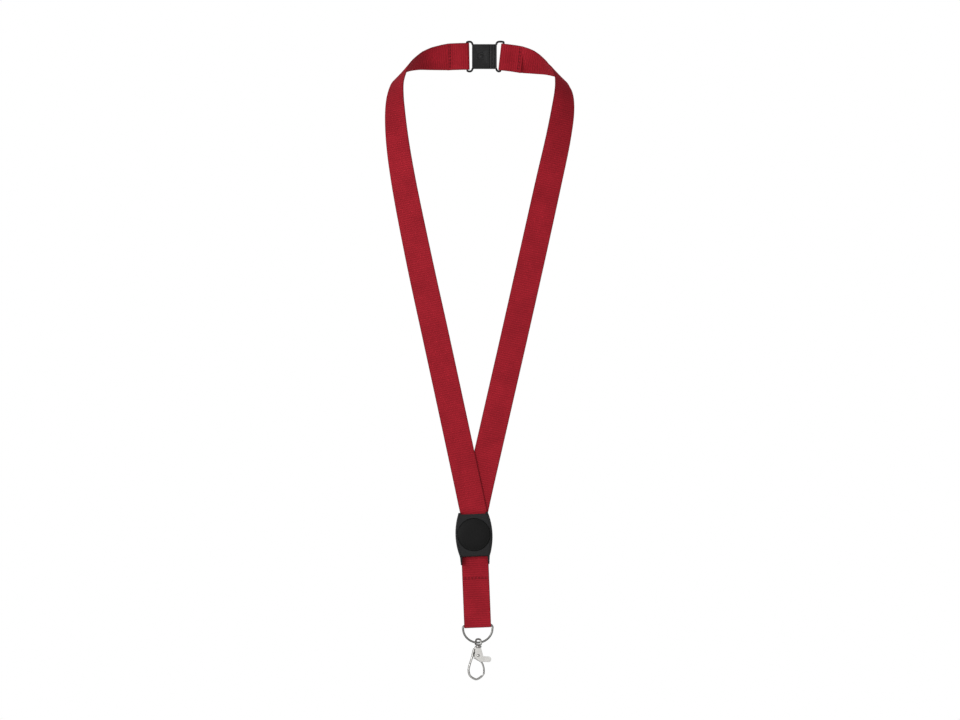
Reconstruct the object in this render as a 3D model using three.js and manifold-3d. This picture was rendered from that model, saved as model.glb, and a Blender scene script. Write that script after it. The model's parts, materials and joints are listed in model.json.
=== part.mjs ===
// A neck lanyard: two webbing straps joined by a release buckle behind the neck and by a badge
// over the chest, with a short tail that carries a D-ring and a swivelling trigger hook.
// Millimetres. +Z up, +X to the wearer's left, -Y away from the chest.
// The origin is the middle of the buckle's neck-side face.
import * as THREE from "three";
import { mergeVertices } from "three/addons/utils/BufferGeometryUtils.js";
import Module from "manifold-3d";

const wasm = await Module();
wasm.setup();

const gap = 0.3; // clearance where two pieces touch
const webWidth = 20;
const webThickness = 0.9;
const layerPitch = webThickness + gap;

const buckle = { half: 9.3, thickness: 6, seamAt: 4.2, round: 0.9, wall: 1.3, cavityEnd: -6.8 };
const loopRod = { radius: 0.7, halfHeight: 11.05, barHalf: 10.1, tuck: 8.4 };
const foldRadius = loopRod.radius + 0.25 + webThickness / 2;
const flapLength = 15;
const buckleMid = buckle.thickness / 2;
const strapTop = buckleMid + foldRadius; // depth of the straps' main layer behind the neck

const chestLeft = -32; // depth of the left strap's lower run, in front
const chestRight = chestLeft + layerPitch;
const tailFront = chestRight + layerPitch;

const lower = { x: -7.8, z: -358.65, lean: THREE.MathUtils.degToRad(-2.3) };
const badge = {
  top: 16.6, bottom: -16.4, halfTop: 11, halfMid: 13.9, halfBottom: 11.2, legTip: -22.5, brow: 15.4, browHalf: 9.3,
};
const badgeDepth = { front: -35.4, inner: -33.3, backInner: -28.6, back: -26.8 };
const disc = { radius: 12.1, recess: 1.3, thickness: 1.2, dome: 0.5 };
const post = { x: 11.9, z: -1, radius: 0.6, hole: 0.9, reach: -33.6 };

const ringWire = 0.75;
const ring = { half: 11.1, barZ: -68, drop: 13, corner: 1.7 };
const tailFold = ringWire + 0.25 + webThickness / 2;
const ringDepth = tailFront + tailFold;
const tailEnds = { top: 9, joint: 7, back: -28.5, stitch: -32.7 };

const eye = { wire: 0.62, half: 3.2, top: 2.6, bottom: -1.8, turn: THREE.MathUtils.degToRad(48) };
const shank = { radius: 0.6, bore: 0.9, headRadius: 1.35, headTop: -5.4, headBottom: -6.2 };
const hook = { drop: 3.0, railWidth: 1.6, railDepth: 3.4, plate: 0.8, plateAt: 2.0 };
const pivot = { x: 0, z: -6.6, radius: 0.55, hole: 0.85, head: 1.05 };

const colours = {
  webbing: [0x961e2c, 0.85, 0],
  thread: [0x7c1a24, 0.8, 0],
  buckle: [0x3a3a3a, 0.5, 0],
  badge: [0x242424, 0.45, 0],
  disc: [0x262626, 0.3, 0],
  nickel: [0xc8c6c2, 0.25, 1],
  steel: [0x9a9a98, 0.35, 1],
};

const vec = (x, y, z) => new THREE.Vector3(x, y, z);

function piece(name, geometry, finish) {
  const [color, roughness, metalness] = colours[finish];
  const mesh = new THREE.Mesh(geometry, new THREE.MeshStandardMaterial({ color, roughness, metalness }));
  mesh.name = name;
  return mesh;
}

// Solids for cutting and joining.
function solid(geometry) {
  const bare = new THREE.BufferGeometry();
  const loose = geometry.index ? geometry.toNonIndexed() : geometry;
  bare.setAttribute("position", loose.getAttribute("position"));
  const merged = mergeVertices(bare, 1e-4);
  return new wasm.Manifold(
    new wasm.Mesh({
      numProp: 3,
      vertProperties: merged.attributes.position.array,
      triVerts: new Uint32Array(merged.index.array),
    }),
  );
}

function geometryOf(made) {
  const mesh = made.getMesh();
  const geometry = new THREE.BufferGeometry();
  geometry.setAttribute("position", new THREE.BufferAttribute(mesh.vertProperties, 3));
  geometry.setIndex(new THREE.BufferAttribute(mesh.triVerts, 1));
  return geometry;
}

const join = (...solids) => solids.reduce((a, b) => a.add(b));

// Runs an outline along stations, each a place with the outline's two directions.
function sweep(stations, outline, closed = false) {
  const sides = outline.length;
  const positions = [];
  stations.forEach(({ at, across, up }) => {
    outline.forEach(([a, b]) => {
      const p = at.clone().addScaledVector(across, a).addScaledVector(up, b);
      positions.push(p.x, p.y, p.z);
    });
  });
  const faces = [];
  const spans = closed ? stations.length : stations.length - 1;
  for (let i = 0; i < spans; i++) {
    const here = i * sides;
    const next = ((i + 1) % stations.length) * sides;
    for (let k = 0; k < sides; k++) {
      const l = (k + 1) % sides;
      // Opposite faces of a twisted strip share their diagonals, which keeps its thickness even.
      if (k < sides / 2) faces.push(here + k, here + l, next + l, here + k, next + l, next + k);
      else faces.push(here + k, here + l, next + k, here + l, next + l, next + k);
    }
  }
  if (!closed) {
    const last = (stations.length - 1) * sides;
    for (let k = 1; k < sides - 1; k++) {
      faces.push(0, k + 1, k, last, last + k, last + k + 1);
    }
  }
  const geometry = new THREE.BufferGeometry();
  geometry.setAttribute("position", new THREE.Float32BufferAttribute(positions, 3));
  geometry.setIndex(faces);
  return facingOut(geometry);
}

function facingOut(geometry) {
  const p = geometry.attributes.position;
  const index = geometry.index.array;
  const corner = [vec(0, 0, 0), vec(0, 0, 0), vec(0, 0, 0)];
  let volume = 0;
  for (let i = 0; i < index.length; i += 3) {
    corner.forEach((c, k) => c.fromBufferAttribute(p, index[i + k]));
    volume += corner[0].dot(corner[1].clone().cross(corner[2]));
  }
  if (volume < 0) geometry.setIndex(Array.from(index).reverse());
  return geometry;
}

const strip = (width, thickness) => [
  [-width / 2, -thickness / 2],
  [width / 2, -thickness / 2],
  [width / 2, thickness / 2],
  [-width / 2, thickness / 2],
];

function round(radius, sides) {
  return Array.from({ length: sides }, (_, k) => {
    const a = ((k + 0.5) * 2 * Math.PI) / sides;
    return [radius * Math.cos(a), radius * Math.sin(a)];
  });
}

// A rectangle with bevelled corners.
function bar(width, depth, bevel) {
  const w = width / 2;
  const d = depth / 2;
  return [
    [-w + bevel, -d], [w - bevel, -d], [w, -d + bevel], [w, d - bevel],
    [w - bevel, d], [-w + bevel, d], [-w, d - bevel], [-w, -d + bevel],
  ];
}

// Stations along a smooth curve that lies in a plane facing `normal`.
function alongPlanar(points, steps, normal, closed = false) {
  const curve = new THREE.CatmullRomCurve3(points, closed, "centripetal");
  const count = closed ? steps : steps + 1;
  return Array.from({ length: count }, (_, i) => {
    const t = i / steps;
    const tangent = curve.getTangentAt(t);
    return { at: curve.getPointAt(t), across: normal.clone().cross(tangent).normalize(), up: normal.clone() };
  });
}

function box(x0, x1, y0, y1, z0, z1) {
  const geometry = new THREE.BoxGeometry(x1 - x0, y1 - y0, z1 - z0);
  return geometry.translate((x0 + x1) / 2, (y0 + y1) / 2, (z0 + z1) / 2);
}

// A plate with its outline in X and Z, from depth y0 to y1.
function plate(shape, y0, y1, curveSegments = 12) {
  const geometry = new THREE.ExtrudeGeometry(shape, { depth: y1 - y0, bevelEnabled: false, curveSegments });
  return geometry.rotateX(Math.PI / 2).translate(0, y1, 0);
}

function shapeOf(points) {
  return new THREE.Shape(points.map(([x, z]) => new THREE.Vector2(x, z)));
}

// A cylinder along Y.
function rodY(x, z, radius, y0, y1, sides = 20) {
  return new THREE.CylinderGeometry(radius, radius, y1 - y0, sides).translate(x, (y0 + y1) / 2, z);
}

// A cylinder along Z.
function rodZ(x, y, radius, z0, z1, sides = 20) {
  const geometry = new THREE.CylinderGeometry(radius, radius, z1 - z0, sides).rotateX(Math.PI / 2);
  return geometry.translate(x, y, (z0 + z1) / 2);
}

// ---- Neck straps ----------------------------------------------------------
// Each route runs from the buckle's bar over the shoulder to the badge: x, depth y, z, and how far
// the webbing has turned about its own length, in degrees. Upright behind the neck is 0. At 90 it
// lies edge-on over the shoulder, and at 180 it hangs flat on the chest.
const leftRoute = [
  [-13, strapTop, 0.2, 0],
  [-18.3, strapTop, 0.1, 0],
  [-26, strapTop, -0.2, 8],
  [-33.3, strapTop - 0.2, -0.9, 23],
  [-40.8, strapTop - 1.2, -1.8, 37],
  [-48.3, strapTop - 4, -3.2, 54],
  [-54.4, strapTop - 8.4, -5.7, 72],
  [-59.4, strapTop - 14, -9.6, 88],
  [-62.9, strapTop - 18.6, -14.4, 103],
  [-65.6, strapTop - 22.6, -20.6, 116],
  [-67, strapTop - 26, -29.9, 128],
  [-67, strapTop - 29, -41.9, 138],
  [-65.3, -27.2, -62.9, 148],
  [-60.8, -29.6, -92.9, 157],
  [-48.9, -31.3, -152.9, 169],
  [-35.8, chestLeft, -212.9, 178],
  [-22.8, chestLeft, -272.9, 180],
  [-10, chestLeft, -332.9, 180],
  [-7.9, chestLeft, -343.4, 180],
  [-7.1, chestLeft, -354, 180],
];
const rightRoute = [
  [13.3, strapTop, -0.3, 0],
  [17.7, strapTop, -0.8, 0],
  [23, strapTop, -1.5, 2],
  [30.5, strapTop - 0.2, -2.9, 18],
  [38, strapTop - 1.1, -4.8, 38],
  [45.2, strapTop - 3.8, -7.2, 58],
  [50, strapTop - 7.2, -9.5, 72],
  [54.4, strapTop - 12, -12.6, 88],
  [57.4, strapTop - 16.6, -16.6, 106],
  [59, strapTop - 20.4, -21.6, 121],
  [59.7, strapTop - 23.8, -29.5, 136],
  [58.7, strapTop - 27.4, -41.9, 150],
  [55.1, -26.6, -62.9, 160],
  [48.5, -29, -92.9, 168],
  [35.2, -30.4, -152.9, 176],
  [21.7, chestRight, -212.9, 180],
  [8, chestRight, -272.9, 180],
  [-5.6, chestRight, -332.9, 180],
  [-7.6, chestRight, -343.4, 180],
  [-8.2, chestRight, -354, 180],
];

const depthAxis = vec(0, 1, 0);

// The webbing's directions for a tangent, a side (-1 left, 1 right) and a turn in radians.
function webFrame(at, tangent, side, turn) {
  const upright = tangent.clone().cross(depthAxis).multiplyScalar(side).normalize();
  const out = tangent.clone().cross(upright).multiplyScalar(side);
  const across = upright.multiplyScalar(Math.cos(turn)).addScaledVector(out, Math.sin(turn));
  return { at, across, up: tangent.clone().cross(across) };
}

function neckStrap(route, side) {
  const curve = new THREE.CatmullRomCurve3(route.map(([x, y, z]) => vec(x, y, z)));
  const turns = new THREE.CatmullRomCurve3(route.map((row) => vec(row[3], 0, 0)));
  const start = curve.getPoint(0);
  const first = curve.getTangent(0);
  const barAt = start.clone().sub(vec(0, foldRadius, 0));
  const stations = [];
  const folded = (along, depth, tangent) => {
    const at = barAt.clone().addScaledVector(first, along).add(vec(0, depth, 0));
    const frame = webFrame(at, first, side, 0);
    frame.up = tangent.clone().cross(frame.across);
    stations.push(frame);
  };
  const flapSteps = 8;
  for (let i = 0; i < flapSteps; i++) {
    const along = flapLength * (1 - i / flapSteps);
    const rise = 0.5 - 0.5 * Math.cos(Math.PI * Math.min(1, Math.max(0, (along - 1) / 10)));
    folded(along, -foldRadius + rise * (2 * foldRadius - layerPitch), first.clone().negate());
  }
  const bendSteps = 8;
  for (let i = 0; i < bendSteps; i++) {
    const a = (Math.PI * i) / bendSteps;
    const tangent = first.clone().multiplyScalar(-Math.cos(a)).addScaledVector(depthAxis, Math.sin(a));
    folded(-foldRadius * Math.sin(a), -foldRadius * Math.cos(a), tangent);
  }
  const perSpan = 4;
  const steps = (route.length - 1) * perSpan;
  for (let i = 0; i <= steps; i++) {
    const t = i / steps;
    const turn = THREE.MathUtils.degToRad(turns.getPoint(t).x);
    stations.push(webFrame(curve.getPoint(t), curve.getTangent(t), side, turn));
  }
  return { geometry: sweep(stations, strip(webWidth, webThickness)), stations, barAt, first };
}

const left = neckStrap(leftRoute, -1);
const right = neckStrap(rightRoute, 1);

// A row of thread with a bulge at each stitch, lying along `across` on a face that looks to -Y.
function seam(at, across, width) {
  const stitches = 9;
  const samples = 36;
  const stations = Array.from({ length: samples + 1 }, (_, i) => {
    const u = i / samples;
    const swell = 0.28 + 0.12 * Math.abs(Math.sin(Math.PI * stitches * u));
    const place = at.clone().addScaledVector(across, (u - 0.5) * width);
    const along = across.clone().cross(depthAxis);
    return { at: place, across: along.multiplyScalar(swell / 0.4), up: depthAxis.clone() };
  });
  return sweep(stations, strip(0.8, 0.3));
}

function foldSeam(strap, side) {
  const frame = webFrame(strap.barAt, strap.first, side, 0);
  const depth = foldRadius - layerPitch - webThickness / 2 - gap - 0.15;
  const at = strap.barAt.clone().addScaledVector(strap.first, flapLength - 2).add(vec(0, depth, 0));
  return seam(at, frame.across, webWidth - 2);
}

// ---- Release buckle -------------------------------------------------------
function roundedPlate(x0, x1, z0, z1, radius, y0, y1) {
  const shape = new THREE.Shape();
  shape.moveTo(x0 + radius, z0);
  shape.lineTo(x1 - radius, z0);
  shape.quadraticCurveTo(x1, z0, x1, z0 + radius);
  shape.lineTo(x1, z1 - radius);
  shape.quadraticCurveTo(x1, z1, x1 - radius, z1);
  shape.lineTo(x0 + radius, z1);
  shape.quadraticCurveTo(x0, z1, x0, z1 - radius);
  shape.lineTo(x0, z0 + radius);
  shape.quadraticCurveTo(x0, z0, x0 + radius, z0);
  return solid(plate(shape, y0, y1, 5));
}

// The strap loop: a round rod from the body's corners out round the strap's bar.
function strapLoop(strap, side, bodyEdge) {
  const lean = (-side * strap.first.z) / Math.abs(strap.first.x);
  const barX = (z) => strap.barAt.x + z * lean;
  const { halfHeight, barHalf, radius, tuck } = loopRod;
  const upper = [
    [bodyEdge - side * 1.6, tuck - 0.8],
    [bodyEdge - side * 0.5, tuck + 0.6],
    [bodyEdge + side * 0.15, halfHeight - 0.7],
    [bodyEdge + side * 1.2, halfHeight],
    [barX(halfHeight) - side * 1.2, halfHeight + 0.05],
    [barX(halfHeight) - side * 0.25, halfHeight - 0.25],
    [barX(barHalf), barHalf],
  ];
  const lowerHalf = [
    [barX(-barHalf), -barHalf],
    [barX(-halfHeight) - side * 0.25, -halfHeight + 0.25],
    [barX(-halfHeight) - side * 1.2, -halfHeight - 0.05],
    [bodyEdge + side * 1.2, -halfHeight],
    [bodyEdge + side * 0.15, -halfHeight + 0.7],
    [bodyEdge - side * 0.5, -tuck - 0.6],
    [bodyEdge - side * 1.6, -tuck + 0.8],
  ];
  const points = [...upper, [barX(0), 0], ...lowerHalf].map(([x, z]) => vec(x, buckleMid, z));
  return solid(sweep(alongPlanar(points, 72, depthAxis), round(radius, 10)));
}

function buckleSocket() {
  const { half, thickness, seamAt, wall, cavityEnd, round: corner } = buckle;
  const body = roundedPlate(-half, seamAt, -half, half, corner, 0, thickness);
  const cavity = solid(box(cavityEnd, seamAt + 1, wall, thickness - wall, -half + 1.6, half - 1.6));
  return geometryOf(join(body, strapLoop(left, -1, -half)).subtract(cavity));
}

// Flange, two spring prongs with snap heads and a guide tongue between them.
function bucklePlug() {
  const { half, thickness, seamAt, wall, cavityEnd, round: corner } = buckle;
  const face = seamAt + gap;
  const y0 = wall + gap;
  const y1 = thickness - wall - gap;
  const tip = cavityEnd + 0.6;
  const flange = roundedPlate(face, half, -half, half, corner, 0, thickness);
  const prong = (s) => {
    const outline = [
      [face + 1, s * 3.4], [face + 1, s * 6.0], [tip + 4.2, s * 6.0], [tip + 3.4, s * 7.2],
      [tip + 1.6, s * 7.2], [tip, s * 5.4], [tip, s * 4.2], [tip + 1.5, s * 3.9],
    ];
    return solid(plate(shapeOf(s > 0 ? outline : outline.reverse()), y0, y1));
  };
  const tongue = solid(box(tip + 2, face + 1, y0 + 0.5, y1 - 0.5, -1.2, 1.2));
  return geometryOf(join(flange, prong(1), prong(-1), tongue, strapLoop(right, 1, half)));
}

// ---- Badge ----------------------------------------------------------------
// The barrel outline, drawn smaller by `inset`, with or without the two legs that run down beside
// the tail strap.
function badgeShape(inset, legs) {
  const { top, bottom, halfTop, halfMid, halfBottom, legTip } = badge;
  const bulge = 2 * halfMid - (halfTop + halfBottom) / 2 - inset;
  const shape = new THREE.Shape();
  shape.moveTo(-halfTop + inset, top - inset);
  shape.quadraticCurveTo(0, top - inset + 0.6, halfTop - inset, top - inset);
  shape.quadraticCurveTo(bulge, 0, halfBottom - inset, bottom + inset);
  if (legs) {
    shape.lineTo(10.7, legTip);
    shape.lineTo(webWidth / 2 + gap, legTip);
    shape.lineTo(webWidth / 2 + gap, bottom);
    shape.lineTo(-webWidth / 2 - gap, bottom);
    shape.lineTo(-webWidth / 2 - gap, legTip);
    shape.lineTo(-10.7, legTip);
    shape.lineTo(-halfBottom, bottom);
  } else {
    shape.lineTo(-halfBottom + inset, bottom + inset);
  }
  shape.quadraticCurveTo(-bulge, 0, -halfTop + inset, top - inset);
  return shape;
}

function badgeFront() {
  const { front, inner, back } = badgeDepth;
  const shell = solid(plate(badgeShape(0, true), front, back));
  const wall = 1.1;
  const hollow = solid(plate(badgeShape(wall, false), inner, back + 1));
  const half = webWidth / 2 + gap + 0.1;
  const strapWay = solid(box(-half, half, inner, back + 1, badge.bottom - 1, badge.top + 2));
  const mouth = solid(box(-badge.halfMid, badge.halfMid, inner, back + 1, badge.top - 5.5, badge.top + 2));
  const brow = solid(box(-badge.browHalf, badge.browHalf, front - 1, inner + 0.5, badge.brow, badge.top + 2));
  const window = solid(rodY(0, 0, disc.radius + gap, front - 1, front + disc.recess, 48));
  const holes = [-1, 1].map((s) => solid(rodY(s * post.x, post.z, post.hole, post.reach - gap, inner + 1, 12)));
  return geometryOf([hollow, strapWay, mouth, brow, window, ...holes].reduce((a, b) => a.subtract(b), shell));
}

function badgeBack() {
  const { backInner, back } = badgeDepth;
  const cover = solid(plate(badgeShape(1.1 + gap, false), backInner, back));
  const posts = [-1, 1].map((s) => solid(rodY(s * post.x, post.z, post.radius, post.reach, backInner + 0.5, 12)));
  return geometryOf(join(cover, ...posts));
}

// A disc with a low dome, its flat middle looking to -Y.
function badgeDisc() {
  const back = badgeDepth.front + disc.recess - gap;
  const rim = back - disc.thickness;
  const profile = [
    [0, back], [disc.radius, back], [disc.radius, rim + 0.4], [disc.radius - 0.4, rim],
    [disc.radius - 2.4, rim - disc.dome], [0, rim - disc.dome],
  ].map(([r, y]) => new THREE.Vector2(r, y));
  return facingOut(solidIndexed(new THREE.LatheGeometry(profile, 48)));
}

// A lathe's poles and seam merged, so that it is one closed skin.
function solidIndexed(geometry) {
  return geometryOf(solidOrFlip(geometry));
}

function solidOrFlip(geometry) {
  const bare = new THREE.BufferGeometry();
  bare.setAttribute("position", geometry.getAttribute("position"));
  bare.setIndex(geometry.index);
  return solid(facingOut(bare));
}

// ---- Tail strap and D-ring ------------------------------------------------
function tailStrap() {
  const across = vec(1, 0, 0);
  const stations = [];
  const add = (y, z, tangent) => stations.push({ at: vec(0, y, z), across, up: tangent.clone().cross(across) });
  const down = vec(0, 0, -1);
  add(tailFront, tailEnds.top, down);
  add(tailFront, -30, down);
  const bendSteps = 10;
  for (let i = 0; i <= bendSteps; i++) {
    const a = (Math.PI * i) / bendSteps;
    const tangent = vec(0, Math.sin(a), -Math.cos(a));
    add(ringDepth - tailFold * Math.cos(a), ring.barZ - tailFold * Math.sin(a), tangent);
  }
  const backSteps = 8;
  for (let i = 1; i <= backSteps; i++) {
    const u = i / backSteps;
    const close = 0.5 - 0.5 * Math.cos(Math.PI * Math.min(1, u * 1.4));
    const y = ringDepth + tailFold - close * (2 * tailFold - layerPitch);
    add(y, ring.barZ + u * (tailEnds.back - ring.barZ), vec(0, 0, 1));
  }
  return sweep(stations, strip(webWidth, webThickness));
}

function dRing() {
  const { half, barZ, drop, corner } = ring;
  const straight = drop - half;
  const points = [];
  const put = (x, z) => points.push(vec(x, ringDepth, barZ + z));
  put(-half + corner, 0);
  put(0, 0);
  put(half - corner, 0);
  put(half - 0.3 * corner, -0.3 * corner);
  put(half, -corner);
  const arcSteps = 10;
  for (let i = 0; i <= arcSteps; i++) {
    const a = (Math.PI * i) / arcSteps;
    put(half * Math.cos(a), -Math.max(straight, corner + 0.4) - (drop - Math.max(straight, corner + 0.4)) * Math.sin(a));
  }
  put(-half, -corner);
  put(-half + 0.3 * corner, -0.3 * corner);
  return sweep(alongPlanar(points, 72, depthAxis, true), round(ringWire, 10), true);
}

// ---- Trigger hook ---------------------------------------------------------
// Eye, shank and peened head, about the D-ring wire's lowest point.
function swivelEye() {
  const { wire, half, top, bottom, turn } = eye;
  const normal = vec(Math.sin(turn), Math.cos(turn), 0);
  const width = vec(Math.cos(turn), -Math.sin(turn), 0);
  const corners = [
    [0, bottom], [half * 0.75, bottom + 0.15], [half, bottom + 1.1], [half * 0.9, 0.6],
    [half * 0.62, top - 0.35], [0, top],
    [-half * 0.62, top - 0.35], [-half * 0.9, 0.6], [-half, bottom + 1.1], [-half * 0.75, bottom + 0.15],
  ];
  const points = corners.map(([a, z]) => width.clone().multiplyScalar(a).setZ(z));
  const bail = solid(sweep(alongPlanar(points, 48, normal, true), round(wire, 8), true));
  const stem = solid(rodZ(0, 0, shank.radius, shank.headBottom + 0.3, bottom));
  const head = solid(rodZ(0, 0, shank.headRadius, shank.headBottom, shank.headTop));
  return geometryOf(join(bail, stem, head));
}

const railPoints = [
  [-2.6, -1.4], [-3.3, -2.2], [-3.9, -4.4], [-4.7, -8], [-6.6, -14], [-7.3, -18.2], [-6.3, -21.7],
  [-3.9, -24], [-1.5, -24.9], [0.9, -23.9], [2.75, -22.05],
];
const gatePoints = [
  [-2.2, -8.7], [-0.5, -9.8], [2.1, -11.4], [3.4, -13.6], [4.1, -16.4], [4.2, -19], [4.05, -20.75],
];

// Rail, collar and neck round the swivel's shank, and the cheek plate behind the lever.
function hookBody() {
  const { railWidth, railDepth, plate: sheet, plateAt } = hook;
  const inXz = railPoints.map(([x, z]) => vec(x, 0, z));
  const rail = solid(sweep(alongPlanar(inXz, 44, depthAxis), bar(railWidth, railDepth, 0.35)));
  const collar = solid(rodZ(0, 0, 2.4, -0.5, 0.4, 28));
  const neck = solid(box(-3.4, 1.9, -1.7, plateAt + sheet, -2, -0.4));
  const cheek = solid(
    plate(shapeOf([[-3.4, -9.2], [3.0, -9.6], [1.9, -1.2], [-3.6, -1.2]]), plateAt, plateAt + sheet),
  );
  const bridge = solid(box(-4.6, -3.0, 1.2, plateAt + sheet, -7.6, -1.6));
  const bore = solid(rodZ(0, 0, shank.bore, -4, 2));
  const pinHole = solid(rodY(pivot.x, pivot.z, pivot.hole, 0, plateAt + 3));
  return geometryOf(join(rail, collar, neck, cheek, bridge).subtract(bore).subtract(pinHole));
}

// Front plate with its gate arm and thumb tab.
function hookLever() {
  const { plate: sheet, plateAt } = hook;
  const face = solid(
    plate(
      shapeOf([[-1.5, -2.3], [-1.7, -5], [-2.9, -8.6], [-0.5, -10.4], [2.2, -12], [4.3, -11.6], [3.3, -7.2], [2.3, -2.3]]),
      -plateAt - sheet,
      -plateAt,
    ),
  );
  const inXz = gatePoints.map(([x, z]) => vec(x, -0.55, z));
  const arm = solid(sweep(alongPlanar(inXz, 24, depthAxis), bar(1.3, 4.5, 0.3)));
  const tab = solid(
    plate(shapeOf([[3.2, -7.6], [8.4, -8.4], [9.5, -9.6], [9.4, -11], [7.8, -12.2], [3.6, -11.8]]), -plateAt - sheet, -plateAt),
  );
  const hole = solid(rodY(pivot.x, pivot.z, pivot.hole, -plateAt - 2, 0));
  return geometryOf(join(face, arm, tab).subtract(hole));
}

// Rivet through the lever and the cheek, with a head on each side.
function leverPin() {
  const outer = hook.plateAt + hook.plate + gap;
  const stem = solid(rodY(pivot.x, pivot.z, pivot.radius, -outer - 0.2, outer + 0.2, 16));
  const heads = [-outer - 0.45, outer].map((y) => solid(rodY(pivot.x, pivot.z, pivot.head, y, y + 0.45, 16)));
  return geometryOf(join(stem, ...heads));
}

// Torsion spring round the pin: one leg under the rail's side, one under the lever's arm.
function leverSpring() {
  const coil = { radius: 1.15, wire: 0.2, turns: 2.5, from: -1.5, to: 0.4 };
  const points = [];
  const steps = 30;
  points.push(vec(-2.9, coil.from, pivot.z + 1.6));
  for (let i = 0; i <= steps; i++) {
    const u = i / steps;
    const a = Math.PI * (0.75 - 2 * coil.turns * u);
    points.push(
      vec(coil.radius * Math.cos(a), coil.from + (coil.to - coil.from) * u, pivot.z + coil.radius * Math.sin(a)),
    );
  }
  points.push(vec(1.7, coil.to, pivot.z - 3.1));
  const curve = new THREE.CatmullRomCurve3(points);
  const outline = new THREE.Shape(round(coil.wire, 6).map(([a, b]) => new THREE.Vector2(a, b)));
  const geometry = new THREE.ExtrudeGeometry(outline, { steps: 90, bevelEnabled: false, extrudePath: curve });
  return geometryOf(solid(geometry));
}

// ---- Assembly -------------------------------------------------------------
const lanyard = new THREE.Group();
lanyard.add(piece("neck_strap_left", left.geometry, "webbing"));
lanyard.add(piece("neck_strap_right", right.geometry, "webbing"));
lanyard.add(piece("seam_left", foldSeam(left, -1), "thread"));
lanyard.add(piece("seam_right", foldSeam(right, 1), "thread"));
lanyard.add(piece("buckle_socket", buckleSocket(), "buckle"));
lanyard.add(piece("buckle_plug", bucklePlug(), "buckle"));

// The badge, tail and D-ring lean together.
const lowerGroup = new THREE.Group();
lowerGroup.position.set(lower.x, 0, lower.z);
lowerGroup.rotation.y = lower.lean;
lowerGroup.add(piece("badge_front", badgeFront(), "badge"));
lowerGroup.add(piece("badge_back", badgeBack(), "badge"));
lowerGroup.add(piece("badge_disc", badgeDisc(), "disc"));
lowerGroup.add(piece("tail_strap", tailStrap(), "webbing"));
const tailSeamAt = vec(0, tailFront - webThickness / 2 - gap - 0.15, tailEnds.stitch);
const jointSeamAt = vec(0.4, chestLeft - webThickness / 2 - gap - 0.15, tailEnds.joint);
lowerGroup.add(piece("seam_joint", seam(jointSeamAt, vec(1, 0, 0), webWidth - 2), "thread"));
lowerGroup.add(piece("seam_tail", seam(tailSeamAt, vec(1, 0, 0), webWidth - 2), "thread"));
lowerGroup.add(piece("d_ring", dRing(), "steel"));
lanyard.add(lowerGroup);

// The hook hangs plumb from the D-ring wire's lowest point.
const ringLow = vec(0, ringDepth, ring.barZ - ring.drop).applyAxisAngle(depthAxis, lower.lean);
const eyeGroup = new THREE.Group();
eyeGroup.position.set(lower.x + ringLow.x, ringDepth, lower.z + ringLow.z);
eyeGroup.add(piece("swivel_eye", swivelEye(), "nickel"));
const hookGroup = new THREE.Group();
hookGroup.position.z = -hook.drop;
hookGroup.add(piece("hook_body", hookBody(), "nickel"));
hookGroup.add(piece("hook_lever", hookLever(), "nickel"));
hookGroup.add(piece("lever_pin", leverPin(), "nickel"));
hookGroup.add(piece("lever_spring", leverSpring(), "steel"));
eyeGroup.add(hookGroup);
lanyard.add(eyeGroup);

export default lanyard;
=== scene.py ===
import json
import math

import bmesh
import bpy
from mathutils import Matrix, Vector


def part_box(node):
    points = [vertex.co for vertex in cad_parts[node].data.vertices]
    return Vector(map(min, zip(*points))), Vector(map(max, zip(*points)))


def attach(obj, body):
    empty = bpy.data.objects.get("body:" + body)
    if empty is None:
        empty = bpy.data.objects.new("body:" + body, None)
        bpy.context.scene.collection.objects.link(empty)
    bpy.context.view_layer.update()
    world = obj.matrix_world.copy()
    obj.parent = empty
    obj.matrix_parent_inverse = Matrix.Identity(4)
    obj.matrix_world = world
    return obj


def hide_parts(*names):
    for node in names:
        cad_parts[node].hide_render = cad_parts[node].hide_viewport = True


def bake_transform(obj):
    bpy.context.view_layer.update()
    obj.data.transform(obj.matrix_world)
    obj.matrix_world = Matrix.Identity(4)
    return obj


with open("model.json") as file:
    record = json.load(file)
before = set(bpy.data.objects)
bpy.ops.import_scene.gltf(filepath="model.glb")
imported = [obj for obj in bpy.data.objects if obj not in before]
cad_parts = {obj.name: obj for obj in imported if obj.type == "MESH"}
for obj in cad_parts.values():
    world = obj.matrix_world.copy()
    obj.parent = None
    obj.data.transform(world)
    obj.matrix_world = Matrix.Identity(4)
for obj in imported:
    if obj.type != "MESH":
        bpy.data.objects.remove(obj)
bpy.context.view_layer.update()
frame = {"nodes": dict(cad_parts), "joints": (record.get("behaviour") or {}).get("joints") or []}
mm = 0.001
joints = {j["name"]: j for j in frame["joints"]}
across, depthAxis, upright = Vector((1, 0, 0)), Vector((0, 1, 0)), Vector((0, 0, 1))
print("frame loaded:", len(frame["nodes"]), "nodes")

studio = {
    "distance": 12.0, "frameWidth": 0.720, "sensor": 36.0, "aim": (-0.0033, -0.015, -0.2279),
    "floor": -0.62, "floorRadius": 4.0, "roomLow": 0.06, "roomHigh": 0.34, "backdrop": 1.0,
}
lamps = {  # place and size in metres, power in watts, all aimed at the middle of the lanyard
    "keyLamp": ((-1.4, -1.8, -0.06), 1.1, 19),
    "frontCard": ((-0.3, -3.0, -0.3), 2.4, 17),
    "fillLamp": ((1.3, -1.3, 0.3), 0.8, 3),
    "topLamp": ((-0.2, 0.5, 1.2), 0.8, 3),
}


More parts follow.
